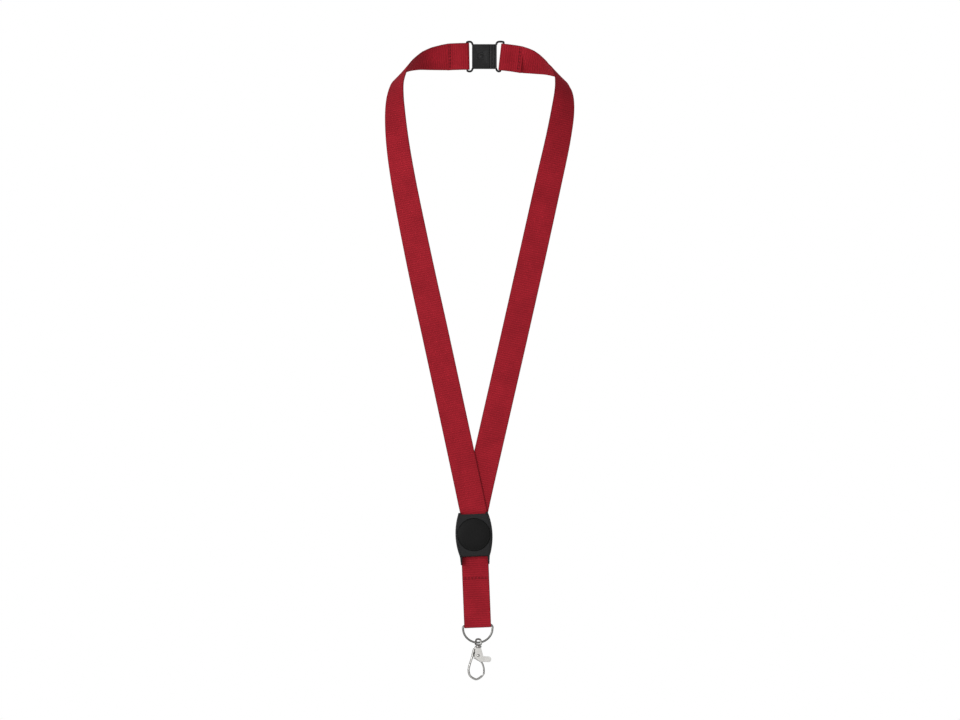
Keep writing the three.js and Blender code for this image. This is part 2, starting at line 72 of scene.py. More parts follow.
def makeCamera():  # square on to the front, far enough off to keep the straps parallel
    data = bpy.data.cameras.new("frontCamera")
    data.sensor_width = studio["sensor"]
    data.lens = studio["sensor"] * studio["distance"] / studio["frameWidth"]
    data.clip_end = 50
    camera = bpy.data.objects.new("frontCamera", data)
    bpy.context.scene.collection.objects.link(camera)
    camera.location = Vector(studio["aim"]) - depthAxis * studio["distance"]
    camera.rotation_euler = (math.pi / 2, 0, 0)
    bpy.context.scene.camera = camera


makeCamera()
bpy.context.scene.view_settings.view_transform = "Standard"


# small helpers for node trees
def addNode(tree, kind, inputs=None, **settings):
    node = tree.nodes.new(kind)
    for key, value in settings.items():
        setattr(node, key, value)
    for key, value in (inputs or {}).items():
        if isinstance(value, bpy.types.NodeSocket):
            tree.links.new(value, node.inputs[key])
        else:
            node.inputs[key].default_value = value
    return node


def calc(tree, operation, a, b=0.0, clamp=False):
    return addNode(tree, "ShaderNodeMath", {0: a, 1: b}, operation=operation, use_clamp=clamp).outputs[0]


def blendColour(tree, factor, a, b):
    node = addNode(tree, "ShaderNodeMix", {0: factor, 6: a, 7: b}, data_type="RGBA")
    return node.outputs[2]


def spread(tree, value, low, high, toLow=0.0, toHigh=1.0):
    inputs = {"Value": value, "From Min": low, "From Max": high, "To Min": toLow, "To Max": toHigh}
    return addNode(tree, "ShaderNodeMapRange", inputs).outputs["Result"]


def objectPlace(tree):
    return addNode(tree, "ShaderNodeTexCoord").outputs["Object"]


def noise(tree, place, scale, detail=3.0, roughness=0.55):
    inputs = {"Vector": place, "Scale": scale, "Detail": detail, "Roughness": roughness}
    return addNode(tree, "ShaderNodeTexNoise", inputs).outputs["Fac"]


def newGroup(name, inputs, outputs):
    group = bpy.data.node_groups.new(name, "ShaderNodeTree")
    for label, value in inputs.items():
        socket = group.interface.new_socket(name=label, in_out="INPUT", socket_type="NodeSocketFloat")
        socket.default_value = value
    for label in outputs:
        group.interface.new_socket(name=label, in_out="OUTPUT", socket_type="NodeSocketFloat")
    entry = group.nodes.new("NodeGroupInput")
    leave = group.nodes.new("NodeGroupOutput")
    return group, entry.outputs, leave.inputs


def makeFibreGroup():  # filament fuzz and broad handling marks
    group, entry, leave = newGroup("fibreMottle", {"Fine": 2600.0, "Broad": 60.0}, ["Fuzz", "Mottle"])
    place = objectPlace(group)
    group.links.new(noise(group, place, entry["Fine"], 2.0, 0.6), leave["Fuzz"])
    group.links.new(noise(group, place, entry["Broad"], 4.0, 0.6), leave["Mottle"])
    return group


def makeRubGroup():  # rubbed edges, broken up by noise
    group, entry, leave = newGroup("edgeRub", {"Start": 0.52, "End": 0.62, "Breakup": 900.0}, ["Rub"])
    sharpness = addNode(group, "ShaderNodeNewGeometry").outputs["Pointiness"]
    edge = spread(group, sharpness, entry["Start"], entry["End"])
    spots = spread(group, noise(group, objectPlace(group), entry["Breakup"], 4.0, 0.7), 0.35, 0.65)
    group.links.new(calc(group, "MULTIPLY", edge, spots, clamp=True), leave["Rub"])
    return group


def makeGrainGroup():  # fine pitted texture of a spark-eroded mould
    group, entry, leave = newGroup("mouldGrain", {"Size": 3800.0}, ["Grain"])
    place = objectPlace(group)
    pits = addNode(group, "ShaderNodeTexVoronoi", {"Vector": place, "Scale": entry["Size"]})
    soft = calc(group, "MULTIPLY", noise(group, place, entry["Size"], 2.0, 0.5), 0.6)
    hard = calc(group, "MULTIPLY", pits.outputs["Distance"], 0.4)
    group.links.new(calc(group, "ADD", soft, hard), leave["Grain"])
    return group


def makeScuffGroup():  # hairline scuffs and a thin, uneven film
    group, entry, leave = newGroup("scuffs", {"Lines": 420.0, "Film": 90.0}, ["Scuff", "Film"])
    place = objectPlace(group)
    drawn = addNode(group, "ShaderNodeVectorMath", {0: place, 1: (1.0, 1.0, 0.12)}, operation="MULTIPLY")
    lines = noise(group, drawn.outputs[0], entry["Lines"], 5.0, 0.75)
    group.links.new(spread(group, lines, 0.58, 0.72), leave["Scuff"])
    group.links.new(spread(group, noise(group, place, entry["Film"], 5.0, 0.65), 0.40, 0.75), leave["Film"])
    return group


shared = {
    "fibre": makeFibreGroup(), "rub": makeRubGroup(), "grain": makeGrainGroup(), "scuff": makeScuffGroup(),
}


def useGroup(tree, name, **values):
    node = addNode(tree, "ShaderNodeGroup", node_tree=shared[name])
    for label, value in values.items():
        node.inputs[label].default_value = value
    return node.outputs


def newMaterial(name, constants):
    material = bpy.data.materials.new(name)
    material.use_nodes = True
    tree = material.node_tree
    tree.nodes.clear()
    surface = addNode(tree, "ShaderNodeBsdfPrincipled", constants)
    addNode(tree, "ShaderNodeOutputMaterial", {"Surface": surface.outputs[0]})
    return material, tree, surface.inputs


def setBump(tree, surface, height, strength, distance):
    bump = addNode(tree, "ShaderNodeBump", {"Height": height, "Strength": strength, "Distance": distance})
    tree.links.new(bump.outputs[0], surface["Normal"])


weave = {  # millimetres; the ribs run across the webbing; bright is the colour on the rib crowns, shade is the painted shade in the valleys between ribs and warp threads, deep is the painted shade along the selvedges
    "width": 20.2, "thickness": 0.9, "rib": 1.65, "ribDepth": 0.16, "warp": 0.55, "selvedge": 0.8,
    "bright": (0.48, 0.014, 0.029, 1), "shade": (0.22, 0.007, 0.014, 1), "deep": (0.12, 0.004, 0.008, 1),
}


def makeWebbingMaterial():
    constants = {"Sheen Weight": 0.12, "Sheen Roughness": 0.5, "Sheen Tint": (0.9, 0.14, 0.18, 1)}
    material, tree, surface = newMaterial("redWebbing", {**constants, "Specular IOR Level": 0.15})
    pattern = addNode(tree, "ShaderNodeUVMap", uv_map="weave").outputs[0]
    parts = addNode(tree, "ShaderNodeSeparateXYZ", {0: pattern}).outputs
    along, aside = parts[0], calc(tree, "ABSOLUTE", parts[1])
    halfWidth = weave["width"] / 2 * mm

    def ridges(value, pitch):  # 1 on each crown, 0 in each valley
        swing = calc(tree, "COSINE", calc(tree, "MULTIPLY", value, math.pi / pitch / mm))
        return calc(tree, "ABSOLUTE", swing)

    rib, warp = ridges(along, weave["rib"]), ridges(parts[1], weave["warp"])
    beads = ridges(along, weave["rib"] / 2)
    lip = spread(tree, aside, halfWidth - weave["selvedge"] * mm, halfWidth - 0.3 * mm)
    fibre = useGroup(tree, "fibre")
    # rib crowns and warp threads are made lighter and the valleys between them darker: painted shade in the
    # weave's valleys, plus random tone from the mottle and fuzz
    tone = calc(tree, "ADD", calc(tree, "MULTIPLY", rib, 0.42), calc(tree, "MULTIPLY", warp, 0.14))
    tone = calc(tree, "ADD", tone, spread(tree, fibre["Mottle"], 0.3, 0.7, 0.02, 0.34))
    tone = calc(tree, "ADD", tone, spread(tree, fibre["Fuzz"], 0.3, 0.7, -0.10, 0.10), clamp=True)
    body = blendColour(tree, tone, weave["shade"], weave["bright"])
    # painted shade along the rounded selvedges, darker between the selvedge beads than on them
    edge = calc(tree, "MULTIPLY", lip, spread(tree, beads, 0.0, 1.0, 0.85, 0.45))
    tree.links.new(blendColour(tree, edge, body, weave["deep"]), surface["Base Color"])
    tree.links.new(spread(tree, tone, 0.0, 1.0, 0.88, 0.66), surface["Roughness"])
    fuzz = calc(tree, "MULTIPLY", fibre["Fuzz"], 0.5)
    height = calc(tree, "ADD", calc(tree, "MULTIPLY", warp, 0.7), fuzz)
    height = calc(tree, "ADD", height, calc(tree, "MULTIPLY", beads, lip))
    setBump(tree, surface, height, 0.5, 0.09 * mm)
    return material


def makeThreadMaterial():
    material, tree, surface = newMaterial("redThread", {"Specular IOR Level": 0.15})
    fibre = useGroup(tree, "fibre", Fine=5200.0, Broad=300.0)
    tone = spread(tree, fibre["Fuzz"], 0.35, 0.65)
    shades = (0.055, 0.003, 0.006, 1), (0.17, 0.008, 0.016, 1)
    tree.links.new(blendColour(tree, tone, *shades), surface["Base Color"])
    tree.links.new(spread(tree, fibre["Mottle"], 0.3, 0.7, 0.55, 0.75), surface["Roughness"])
    setBump(tree, surface, fibre["Fuzz"], 0.5, 0.05 * mm)
    return material


plastics = {  # moulded greys; grain is the size of the mould's texture, grainDepth its depth in millimetres
    "buckle": {
        "base": (0.008, 0.008, 0.009, 1), "worn": (0.026, 0.026, 0.026, 1),
        "roughness": 0.45, "grain": 3800.0, "grainDepth": 0.04, "shine": 0.3,
    },
    "badge": {
        "base": (0.016, 0.016, 0.017, 1), "worn": (0.028, 0.028, 0.028, 1),
        "roughness": 0.42, "grain": 5200.0, "grainDepth": 0.02, "shine": 0.14,
    },
    "disc": {
        "base": (0.006, 0.006, 0.006, 1), "worn": (0.012, 0.012, 0.012, 1),
        "roughness": 0.38, "grain": 7000.0, "grainDepth": 0.01, "shine": 0.12,
    },
}
metals = {
    "nickel": {
        "bright": (0.56, 0.55, 0.53, 1), "dull": (0.45, 0.44, 0.42, 1), "roughness": 0.15, "scratch": 0.03,
    },
    "wire": {
        "bright": (0.26, 0.26, 0.25, 1), "dull": (0.19, 0.19, 0.18, 1), "roughness": 0.26, "scratch": 0.04,
    },
}


def makePlastic(name, recipe):
    base, worn, roughness = recipe["base"], recipe["worn"], recipe["roughness"]
    material, tree, surface = newMaterial(name, {"Specular IOR Level": recipe["shine"]})
    rub = useGroup(tree, "rub")["Rub"]
    scuff = useGroup(tree, "scuff")
    grain = useGroup(tree, "grain", Size=recipe["grain"])["Grain"]
    shade = blendColour(tree, calc(tree, "MULTIPLY", scuff["Film"], 0.30), base, worn)
    shade = blendColour(tree, calc(tree, "MULTIPLY", scuff["Scuff"], 0.25), shade, worn)
    tree.links.new(blendColour(tree, calc(tree, "MULTIPLY", rub, 0.5), shade, worn), surface["Base Color"])
    film = spread(tree, scuff["Film"], 0.0, 1.0, roughness - 0.05, roughness + 0.12)
    tree.links.new(calc(tree, "SUBTRACT", film, calc(tree, "MULTIPLY", rub, 0.12)), surface["Roughness"])
    setBump(tree, surface, grain, 0.35, recipe["grainDepth"] * mm)
    return material


def makeMetal(name, recipe):
    bright, dull, roughness = recipe["bright"], recipe["dull"], recipe["roughness"]
    material, tree, surface = newMaterial(name, {"Metallic": 1.0})
    scuff = useGroup(tree, "scuff", Lines=2400.0, Film=45.0)
    rub = useGroup(tree, "rub")["Rub"]
    shade = blendColour(tree, calc(tree, "MULTIPLY", scuff["Film"], 0.6), bright, dull)
    worn = blendColour(tree, calc(tree, "MULTIPLY", rub, 0.4), shade, bright)
    tree.links.new(worn, surface["Base Color"])
    film = spread(tree, scuff["Film"], 0.0, 1.0, roughness, roughness + 0.14)
    rough = calc(tree, "ADD", film, calc(tree, "MULTIPLY", scuff["Scuff"], 0.10))
    tree.links.new(rough, surface["Roughness"])
    setBump(tree, surface, scuff["Scuff"], recipe["scratch"], 0.03 * mm)
    return material


finish = {
    "webbing": makeWebbingMaterial(),
    "thread": makeThreadMaterial(),
    "buckle_plastic": makePlastic("buckleBlack", plastics["buckle"]),
    "badge_plastic": makePlastic("badgeBlack", plastics["badge"]),
    "disc_face": makePlastic("discBlack", plastics["disc"]),
    "nickel": makeMetal("brightNickel", metals["nickel"]),
    "steel_wire": makeMetal("steelWire", metals["wire"]),
}
print("finishes made:", ", ".join(finish))

# every piece is drawn in millimetres and brought to its place in the frame at the end
toMetres = Matrix.Scale(mm, 4)


def turnAbout(axis, angle):
    return Matrix.Rotation(angle, 4, axis)


def lowerFrame():  # the badge, tail and D-ring lean together; the ring's bar hangs below the badge's middle
    bar = Vector(joints["ring_swing"]["pos_m"]) / mm
    leanAxis = Vector(joints["ring_swing"]["axis"])
    turn = turnAbout(depthAxis, -math.atan2(leanAxis.z, leanAxis.x))
    foot = Matrix.Translation((bar.x, 0, bar.z))
    return foot @ turn @ Matrix.Translation((0, 0, badge["barDrop"])), bar.y


def hookFrame():
    eyeAt = Vector(joints["eye_swing"]["pos_m"]) / mm
    return Matrix.Translation(eyeAt), Matrix.Translation(eyeAt - upright * hook["drop"])


def finishPiece(bm, name, body, slotName, replaced=(), place=None, smoothAngle=35):
    bmesh.ops.remove_doubles(bm, verts=bm.verts, dist=1e-4)
    bmesh.ops.holes_fill(bm, edges=[e for e in bm.edges if e.is_boundary], sides=0)
    bmesh.ops.transform(bm, matrix=toMetres @ (place or Matrix.Identity(4)), verts=bm.verts)
    bmesh.ops.recalc_face_normals(bm, faces=bm.faces)
    mesh = bpy.data.meshes.new(name)
    bm.to_mesh(mesh)
    bm.free()
    mesh.shade_smooth()
    mesh.set_sharp_from_angle(angle=math.radians(smoothAngle))
    mesh.materials.append(finish[slotName])
    piece = bpy.data.objects.new(name, mesh)
    bpy.context.scene.collection.objects.link(piece)
    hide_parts(*replaced)
    if body:
        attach(piece, body)
    return piece


def workPiece(bm, name):  # a throwaway object for modifiers
    bmesh.ops.recalc_face_normals(bm, faces=bm.faces)
    mesh = bpy.data.meshes.new(name)
    bm.to_mesh(mesh)
    bm.free()
    piece = bpy.data.objects.new(name, mesh)
    bpy.context.scene.collection.objects.link(piece)
    return piece


def settle(piece):  # applies the modifiers, and gives the result back as a bmesh
    bpy.context.view_layer.update()
    made = bpy.data.meshes.new_from_object(piece.evaluated_get(bpy.context.evaluated_depsgraph_get()))
    bm = bmesh.new()
    bm.from_mesh(made)
    bpy.data.meshes.remove(made)
    bpy.data.meshes.remove(piece.data)
    return bm


def combine(bm, tools, operation="DIFFERENCE"):
    base = workPiece(bm, "stock")
    cutters = [workPiece(tool, "tool") for tool in tools]
    for cutter in cutters:
        step = base.modifiers.new("cut", "BOOLEAN")
        step.operation, step.object, step.solver = operation, cutter, "EXACT"
    result = settle(base)
    for cutter in cutters:
        bpy.data.meshes.remove(cutter.data)
    return result


def softenEdges(bm, width, segments=3, angle=30):
    base = workPiece(bm, "stock")
    step = base.modifiers.new("round", "BEVEL")
    step.width, step.segments, step.angle_limit = width, segments, math.radians(angle)
    step.limit_method, step.use_clamp_overlap = "ANGLE", True
    return settle(base)


def castTogether(bm, voxel, rounds):  # melts overlapping solids into one, with cast fillets
    base = workPiece(bm, "stock")
    skin = base.modifiers.new("skin", "REMESH")
    skin.mode, skin.voxel_size = "VOXEL", voxel
    calm = base.modifiers.new("calm", "SMOOTH")
    calm.factor, calm.iterations = 0.5, rounds
    return settle(base)


def block(x0, x1, y0, y1, z0, z1):
    bm = bmesh.new()
    bmesh.ops.create_cube(bm, size=1.0)
    bmesh.ops.scale(bm, vec=(x1 - x0, y1 - y0, z1 - z0), verts=bm.verts)
    bmesh.ops.translate(bm, vec=((x0 + x1) / 2, (y0 + y1) / 2, (z0 + z1) / 2), verts=bm.verts)
    return bm


def bevelAll(bm, edges, width, segments):
    bmesh.ops.bevel(
        bm, geom=edges, offset=width, offset_type="OFFSET", segments=segments, profile=0.5,
        affect="EDGES", clamp_overlap=True, material=-1,
    )


def edgesAlong(bm, axis):
    return [e for e in bm.edges if abs((e.verts[0].co - e.verts[1].co).normalized().dot(axis)) > 0.99]


def roundedBlock(x0, x1, y0, y1, z0, z1, corner, side=0):
    # the corners seen from the front are rounded, on one side (-1 left, 1 right) or on both
    bm = block(x0, x1, y0, y1, z0, z1)
    middle = (x0 + x1) / 2
    edges = [e for e in edgesAlong(bm, depthAxis) if side * (e.verts[0].co.x - middle) >= 0]
    bevelAll(bm, edges, corner, 6)
    return bm


def turned(profile, axis, steps=64):  # profile: (radius, height along the axis), spun a full turn
    bm = bmesh.new()
    side = across if axis is not across else upright
    verts = [bm.verts.new(side * r + axis * h) for r, h in profile]
    edges = [bm.edges.new(pair) for pair in zip(verts, verts[1:])]
    bmesh.ops.spin(
        bm, geom=verts + edges, cent=(0, 0, 0), axis=axis, angle=math.tau, steps=steps, use_merge=True,
    )
    bmesh.ops.remove_doubles(bm, verts=bm.verts, dist=1e-4)
    bmesh.ops.recalc_face_normals(bm, faces=bm.faces)
    return bm


def slab(outline, y0, y1):  # an outline in x and z, given a depth
    bm = bmesh.new()
    face = bm.faces.new([bm.verts.new((x, y0, z)) for x, z in outline])
    pushed = bmesh.ops.extrude_face_region(bm, geom=[face])["geom"]
    far = [v for v in pushed if isinstance(v, bmesh.types.BMVert)]
    bmesh.ops.translate(bm, vec=depthAxis * (y1 - y0), verts=far)
    bmesh.ops.recalc_face_normals(bm, faces=bm.faces)
    return bm


def merge(*parts):
    whole = bmesh.new()
    for part in parts:
        mesh = bpy.data.meshes.new("part")
        part.to_mesh(mesh)
        whole.from_mesh(mesh)
        bpy.data.meshes.remove(mesh)
        part.free()
    return whole


def shifted(bm, x=0.0, y=0.0, z=0.0, turn=None):
    if turn is not None:
        bmesh.ops.transform(bm, matrix=turn, verts=bm.verts)
    bmesh.ops.translate(bm, vec=(x, y, z), verts=bm.verts)
    return bm


def smoothRows(rows, perSpan, closed=False):  # a curve through the rows, which may carry a fourth value
    points = [Vector(row) for row in rows]
    count = len(points)
    spans = count if closed else count - 1

    def pick(i):
        if closed:
            return points[i % count]
        if i < 0:
            return points[0] * 2 - points[1]
        return points[i] if i < count else points[-1] * 2 - points[-2]

    def knot(a, b):
        return max(math.sqrt((a.xyz - b.xyz).length), 1e-6)

    line = []
    for i in range(spans):
        a, b, c, d = (pick(i + k) for k in (-1, 0, 1, 2))
        ab, bc, cd = knot(a, b), knot(b, c), knot(c, d)
        leave = ((b - a) / ab - (c - a) / (ab + bc) + (c - b) / bc) * bc
        arrive = ((c - b) / bc - (d - b) / (bc + cd) + (d - c) / cd) * bc
        for k in range(perSpan):
            t = k / perSpan
            line.append(
                b * (2 * t**3 - 3 * t**2 + 1) + leave * (t**3 - 2 * t**2 + t)
                + c * (3 * t**2 - 2 * t**3) + arrive * (t**3 - t**2)
            )
    if not closed:
        line.append(points[-1])
    return line


def wire(points, radius, closed=False, sides=5):
    curve = bpy.data.curves.new("wire", "CURVE")
    curve.dimensions, curve.bevel_depth, curve.bevel_resolution = "3D", radius, sides
    curve.use_fill_caps = not closed
    spline = curve.splines.new("POLY")
    spline.points.add(len(points) - 1)
    for spot, point in zip(spline.points, points):
        spot.co = (*point.xyz, 1)
    spline.use_cyclic_u = closed
    holder = bpy.data.objects.new("wire", curve)
    bpy.context.scene.collection.objects.link(holder)
    bm = settleCurve(holder)
    bpy.data.curves.remove(curve)
    return bm


def settleCurve(holder):
    bpy.context.view_layer.update()
    made = bpy.data.meshes.new_from_object(holder.evaluated_get(bpy.context.evaluated_depsgraph_get()))
    bm = bmesh.new()
    bm.from_mesh(made)
    bpy.data.meshes.remove(made)
    bmesh.ops.remove_doubles(bm, verts=bm.verts, dist=1e-4)
    return bm


def webSection(columns=12):  # flat faces with a round selvedge at each side
    flat, lip = (weave["width"] - weave["thickness"]) / 2, weave["thickness"] / 2
    face = [(-flat + 2 * flat * i / columns, lip) for i in range(columns + 1)]
    face += [(flat + lip * math.cos(a), lip * math.sin(a)) for a in (math.pi / 4, 0, -math.pi / 4)]
    return face + [(-a, -b) for a, b in face]


def evenStations(path, step):  # path: (place, aside, out) close together
    lengths = [0.0]
    for a, b in zip(path, path[1:]):
        lengths.append(lengths[-1] + (b[0] - a[0]).length)
    count = max(2, round(lengths[-1] / step))
    stations, k = [], 0
    for i in range(count + 1):
        goal = lengths[-1] * i / count
        while k < len(path) - 2 and lengths[k + 1] < goal:
            k += 1
        share = (goal - lengths[k]) / max(lengths[k + 1] - lengths[k], 1e-9)
        place, aside, out = (path[k][n].lerp(path[k + 1][n], share) for n in range(3))
        stations.append((place, aside.normalized(), out.normalized(), goal))
    return stations, lengths[-1]


def webbing(path, pinches=()):
    # pinches: (distance along, half width of the dip) where a row of stitches pulls the cloth in
    stations, length = evenStations(path, weave["rib"] / 4)
    section = webSection()
    lip = weave["thickness"] / 2
    bm = bmesh.new()
    rows, columns = len(stations), len(section)
    bmesh.ops.create_grid(bm, x_segments=rows - 1, y_segments=columns, size=1.0)
    pattern = bm.loops.layers.uv.new("weave")
    spots = {}
    for vert in bm.verts:
        i = round((vert.co.x + 1) / 2 * (rows - 1))
        k = round((vert.co.y + 1) / 2 * columns) % columns
        place, aside, out, along = stations[i]
        a, b = section[k]
        crown = abs(math.cos(math.pi * along / weave["rib"])) ** 0.6
        dip = sum(0.12 * max(0.0, 1 - abs(along - at) / half) for at, half in pinches)
        if abs(b) > 0.99 * lip:
            b -= math.copysign(weave["ribDepth"] * (1 - crown) + dip, b)
        else:
            a -= math.copysign(0.06 * (1 - crown), a)
        sealed = 0.75 if i in (0, rows - 1) else 1.0
        vert.co = place + aside * a + out * (b * sealed)
        spots[vert.index] = (along * mm, section[k][0] * mm)
    for face in bm.faces:
        for loop in face.loops:
            loop[pattern].uv = spots[loop.vert.index]
    bmesh.ops.remove_doubles(bm, verts=bm.verts, dist=1e-4)
    bmesh.ops.holes_fill(bm, edges=[e for e in bm.edges if e.is_boundary], sides=0)
    return bm, length


thread = {"stitch": 2.2, "spare": 0.25, "radius": 0.2, "margin": 2.4}


def threadRow(at, aside, out, span):  # lockstitches along a straight row
    stitch, spare, radius = (thread[k] for k in ("stitch", "spare", "radius"))
    count = round(span / (stitch + spare))
    pitch = span / count
    row = bmesh.new()
    for i in range(count):
        one = bmesh.new()
        bmesh.ops.create_uvsphere(one, u_segments=8, v_segments=7, radius=1.0)
        long = pitch - spare
        for vert in one.verts:
            arch = radius * 0.8 * (1 - vert.co.x**2)
            middle = at + aside * (-span / 2 + pitch * (i + 0.5))
            lift = vert.co.z * radius * 0.8 + arch - radius * 0.6
            around = out * lift + aside.cross(out) * vert.co.y * radius
            vert.co = middle + aside * vert.co.x * long / 2 + around
        row = merge(row, one)
    return row


# neck straps: x, depth, height and turn in degrees, from the buckle's bar round the shoulder to the badge
leftRoute = [
    (-13.0, 4.4, 0.2, 0), (-18.3, 4.4, 0.1, 0), (-26.0, 4.4, -0.2, 8), (-33.3, 4.2, -0.9, 23),
    (-40.8, 3.2, -1.8, 37), (-48.3, 0.4, -3.2, 54), (-54.4, -4.0, -5.7, 72), (-59.4, -9.6, -9.6, 88),
    (-62.9, -14.2, -14.4, 103), (-65.6, -18.2, -20.6, 116), (-67.0, -21.6, -29.9, 128),
    (-67.0, -24.6, -41.9, 138),
    (-65.3, -27.2, -62.9, 148), (-60.8, -29.6, -92.9, 157), (-48.9, -31.3, -152.9, 169),
    (-35.8, -32.0, -212.9, 178), (-22.8, -32.0, -272.9, 180), (-10.0, -32.0, -332.9, 180),
    (-7.9, -32.0, -343.4, 180), (-7.1, -32.0, -354.0, 180),
]
rightRoute = [
    (13.3, 4.4, -0.3, 0), (17.7, 4.4, -0.8, 0), (23.0, 4.4, -1.5, 2), (30.5, 4.2, -2.9, 18),
    (38.0, 3.3, -4.8, 38), (45.2, 0.6, -7.2, 58), (50.0, -2.8, -9.5, 72), (54.4, -7.6, -12.6, 88),
    (57.4, -12.2, -16.6, 106), (59.0, -16.0, -21.6, 121), (59.7, -19.4, -29.5, 136),
    (58.7, -23.0, -41.9, 150),
    (55.1, -26.6, -62.9, 160), (48.5, -29.0, -92.9, 168), (35.2, -30.4, -152.9, 176),
    (21.7, -30.8, -212.9, 180), (8.0, -30.8, -272.9, 180), (-5.6, -30.8, -332.9, 180),
    (-7.6, -30.8, -343.4, 180), (-8.2, -30.8, -354.0, 180),
]
fold = {"radius": 1.4, "flap": 15.0, "rise": 10.0, "pitch": 1.2, "seamAt": 13.0, "rows": 0.55, "dip": 1.6}


def webFrame(tangent, side, turn):
    rise = (tangent.cross(depthAxis) * side).normalized()
    out = tangent.cross(rise) * side
    aside = rise * math.cos(turn) + out * math.sin(turn)
    return aside, tangent.cross(aside)


def neckPath(route, side):
    line = smoothRows(route, 60)
    start = line[0].xyz
    first = (line[1].xyz - start).normalized()
    barAt = start - depthAxis * fold["radius"]
    aside = webFrame(first, side, 0)[0]
    path = []
    steps = 40
    for i in range(steps):
        along = fold["flap"] * (1 - i / steps)
        rise = 0.5 - 0.5 * math.cos(math.pi * min(1, max(0, (along - 1) / fold["rise"])))
        depth = -fold["radius"] + rise * (2 * fold["radius"] - fold["pitch"])
        middle = barAt + first * along + depthAxis * depth
        sag = next((spot.z for spot in line if abs(spot.x) >= abs(middle.x)), middle.z) - middle.z
        path.append((middle + upright * sag * min(1, along / 6), aside, (-first).cross(aside)))
    for i in range(steps):
        a = math.pi * i / steps
        tangent = depthAxis * math.sin(a) - first * math.cos(a)
        offset = first * -math.sin(a) - depthAxis * math.cos(a)
        path.append((barAt + offset * fold["radius"], aside, tangent.cross(aside)))
    for i, spot in enumerate(line):
        after, before = line[min(i + 1, len(line) - 1)], line[max(i - 1, 0)]
        tangent = (after.xyz - before.xyz).normalized()
        path.append((spot.xyz, *webFrame(tangent, side, math.radians(spot.w))))
    return path, barAt, first, aside


def neckStrap(name, route, side):
    path, barAt, first, aside = neckPath(route, side)
    seam = fold["flap"] - fold["seamAt"]
    behind = fold["flap"] + math.pi * fold["radius"] + fold["seamAt"]
    bm, length = webbing(path, [(seam, fold["dip"]), (behind, fold["dip"])])
    body = "loop" if side < 0 else None
    strap = finishPiece(bm, name, body, "webbing", ["neck_strap_left" if side < 0 else "neck_strap_right"])
    if side > 0:
        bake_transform(strap)
    return strap, length * mm, barAt, first, aside


def foldStitches(name, side, barAt, first, aside):
    span = weave["width"] - thread["margin"]
    thickness = weave["thickness"] / 2
    front = fold["radius"] - fold["pitch"] - thickness
    back = fold["radius"] + thickness
    rows = []
    for shift in (-fold["rows"], fold["rows"]):
        middle = barAt + first * (fold["seamAt"] + shift)
        rows.append(threadRow(middle + depthAxis * front, aside, -depthAxis, span))
        rows.append(threadRow(middle + depthAxis * back, aside, depthAxis, span))
    replaced = "seam_left" if side < 0 else "seam_right"
    return finishPiece(merge(*rows), name, "loop" if side < 0 else "plug", "thread", [replaced])


leftStrap, leftLength, leftBar, leftFirst, leftAside = neckStrap("left_neck_webbing", leftRoute, -1)
rightStrap, rightLength, rightBar, rightFirst, rightAside = neckStrap("right_neck_webbing", rightRoute, 1)
foldStitches("left_fold_stitches", -1, leftBar, leftFirst, leftAside)
foldStitches("right_fold_stitches", 1, rightBar, rightFirst, rightAside)
print("neck straps made, metres:", round(leftLength, 4), round(rightLength, 4))

# release buckle
buckle = {
    "half": 9.3, "depth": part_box("buckle_socket")[1].y / mm, "seam": 4.2, "gap": 0.3, "corner": 0.9,
    "wall": 1.3, "cavityEnd": -6.8, "soften": 0.24, "lap": (0.3, 0.7), "rim": 0.8, "sunk": 0.22,
    "mark": (-2.3, 0.2), "markRing": (1.2, 2.9, 0.9), "groovesAt": (5.65, 7.3), "groove": (0.55, 0.7),
}
rod = {"radius": 0.76, "half": 11.1, "bar": 10.1, "tuck": 8.4}


def strapLoop(barAt, first, side, edge):  # a round rod from the body's corners out round the strap's bar
    lean = -side * first.z / abs(first.x)
    half, bar, tuck = rod["half"], rod["bar"], rod["tuck"]

    def barX(z):
        return barAt.x + z * lean

    def corner(s):
        return [
            (edge - side * 1.6, s * (tuck - 0.8)), (edge - side * 0.5, s * (tuck + 0.6)),
            (edge + side * 0.15, s * (half - 0.7)), (edge + side * 1.2, s * half),
            (barX(s * half) - side * 1.2, s * (half + 0.05)),
            (barX(s * half) - side * 0.25, s * (half - 0.25)),
            (barX(s * bar), s * bar),
        ]

    places = corner(1) + [(barX(0), 0)] + corner(-1)[::-1]
    return wire(smoothRows([(x, buckle["depth"] / 2, z) for x, z in places], 8), rod["radius"], sides=4)


def markGroove():  # a plain moulded ring
    inner, outer, deep = buckle["markRing"]
    profile = [(inner, -1), (outer, -1), (outer - 0.1, deep), (inner + 0.1, deep), (inner, -1)]
    return shifted(turned(profile, depthAxis, 40), x=buckle["mark"][0], z=buckle["mark"][1])


def buckleSocket():
    half, depth, seam, wall = (buckle[k] for k in ("half", "depth", "seam", "wall"))
    body = roundedBlock(-half, seam, 0, depth, -half, half, buckle["corner"], -1)
    inner = half - buckle["rim"]
    panel = roundedBlock(-inner, seam + 2, -1, buckle["sunk"], -inner, inner, 0.5, -1)
    cavity = block(buckle["cavityEnd"], seam + 1, wall, depth - wall, -half + 1.6, half - 1.6)
    lap, deep = buckle["lap"]
    laps = [block(seam - lap, seam + 1, y - deep, y + deep, -half - 1, half + 1) for y in (0, depth)]
    body = combine(body, [panel, cavity, markGroove(), *laps])
    body = softenEdges(body, buckle["soften"])
    body = combine(body, [strapLoop(leftBar, leftFirst, -1, -half)], "UNION")
    return finishPiece(body, "buckle_socket_shell", "loop", "buckle_plastic", ["buckle_socket"])


